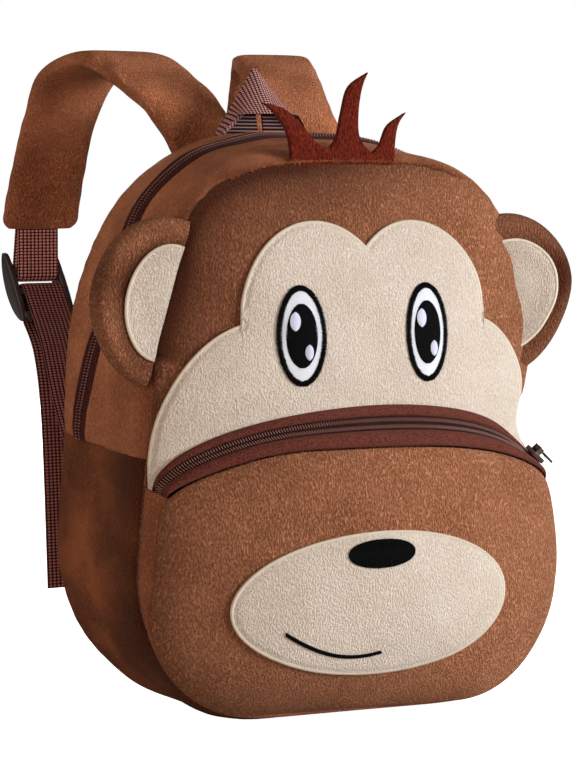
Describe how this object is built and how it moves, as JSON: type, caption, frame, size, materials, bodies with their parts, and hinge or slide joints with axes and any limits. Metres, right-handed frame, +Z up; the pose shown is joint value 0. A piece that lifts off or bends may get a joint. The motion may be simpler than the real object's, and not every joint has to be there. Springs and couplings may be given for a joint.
{
  "type": "plush animal backpack",
  "caption": "Small soft plush monkey-face backpack with zipped main body and muzzle pocket, stuffed ears, felt hair, webbing handle and padded adjustable shoulder straps.",
  "frame": {"origin": "middle of the flat foot that the bag stands on", "axes": "+Z up, the face looks along -Y, +X is to the right of someone who looks at the face"},
  "size_m": [0.2574, 0.2485, 0.314],
  "materials": {
    "brown_plush": "short-pile brown plush",
    "cream_plush": "short-pile cream plush",
    "red_felt": "dense dark red-brown felt",
    "zip_tape": "woven maroon zip tape",
    "zip_coil": "nylon coil",
    "webbing": "ribbed dark maroon webbing",
    "black_thread": "black satin-stitch embroidery",
    "white_thread": "white satin-stitch embroidery",
    "dark_plastic": "moulded dark brown acetal",
    "dark_metal": "dark brown lacquered zinc"
  },
  "bodies": {
    "bag": {"front_panel": "brown_plush", "back_panel": "brown_plush", "gusset_front_strip": "brown_plush", "gusset_back_strip": "brown_plush", "gusset_base": "brown_plush", "main_zip_tape": "zip_tape", "main_zip_coil": "zip_coil", "main_zip_slider": "dark_metal", "pocket_panel": "brown_plush", "pocket_gusset": "brown_plush", "pocket_zip_upper_tape": "zip_tape", "pocket_zip_lower_tape": "zip_tape", "pocket_zip_coil": "zip_coil", "pocket_zip_slider": "dark_metal", "face_patch": "cream_plush", "eye_rim_left": "black_thread", "eye_rim_right": "black_thread", "eye_white_left": "white_thread", "eye_white_right": "white_thread", "eye_pupil_left": "black_thread", "eye_pupil_right": "black_thread", "eye_glint_upper_left": "white_thread", "eye_glint_upper_right": "white_thread", "eye_glint_lower_left": "white_thread", "eye_glint_lower_right": "white_thread", "muzzle_patch": "cream_plush", "nose": "black_thread", "mouth": "black_thread", "ear_left": "brown_plush", "ear_right": "brown_plush", "ear_patch_left": "cream_plush", "ear_patch_right": "cream_plush", "hair_tuft": "red_felt", "grab_handle": "webbing", "shoulder_pad_left": "brown_plush", "shoulder_pad_right": "brown_plush", "buckle_left": "dark_plastic", "buckle_right": "dark_plastic", "strap_tab_left": "webbing", "strap_tab_right": "webbing", "strap_webbing_left": "webbing", "strap_webbing_right": "webbing"},
    "pocket_pull": {"pocket_zip_pull": "dark_metal"}
  },
  "joints": [
    {"name": "pocket_pull_swing", "type": "hinge", "parent": "bag", "child": "pocket_pull", "pos_m": [0.0989, -0.05344, 0.12053], "axis": [-0.0413, -0.8912, -0.4517], "range_deg": [0, 150]}
  ]
}
